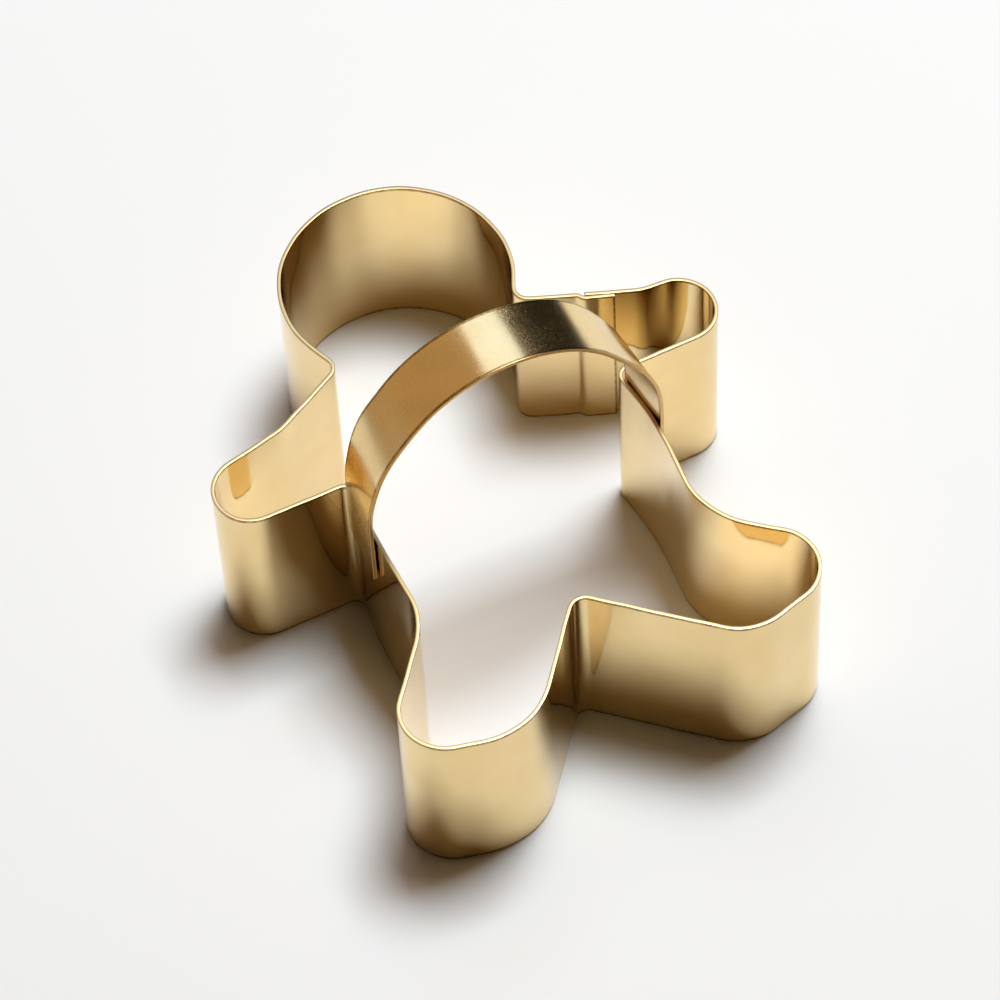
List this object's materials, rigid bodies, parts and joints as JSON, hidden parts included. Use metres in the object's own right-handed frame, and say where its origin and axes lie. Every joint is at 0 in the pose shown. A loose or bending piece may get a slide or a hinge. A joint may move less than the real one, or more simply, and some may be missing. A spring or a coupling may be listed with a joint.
{
  "type": "cookie cutter",
  "caption": "Gold-toned metal cookie cutter in the outline of a gingerbread figure, with an arched strap handle.",
  "frame": {"origin": "middle of the outline's bounding box, in the plane of the cutting edge", "axes": "+Z from the cutting edge up to the handle, +Y towards the figure's head, +X towards the figure's arm that lies on the right when it is seen from above"},
  "size_m": [0.0684, 0.082, 0.0484],
  "materials": {
    "band": "satin gloss, rolled sheet",
    "strap": "gloss, rolled sheet",
    "weld": "satin"
  },
  "bodies": {
    "root": {"cutter_band": "band", "handle_strap": "strap", "seam_welds": "weld", "left_foot_weld": "weld", "right_foot_weld": "weld"}
  },
  "joints": []
}
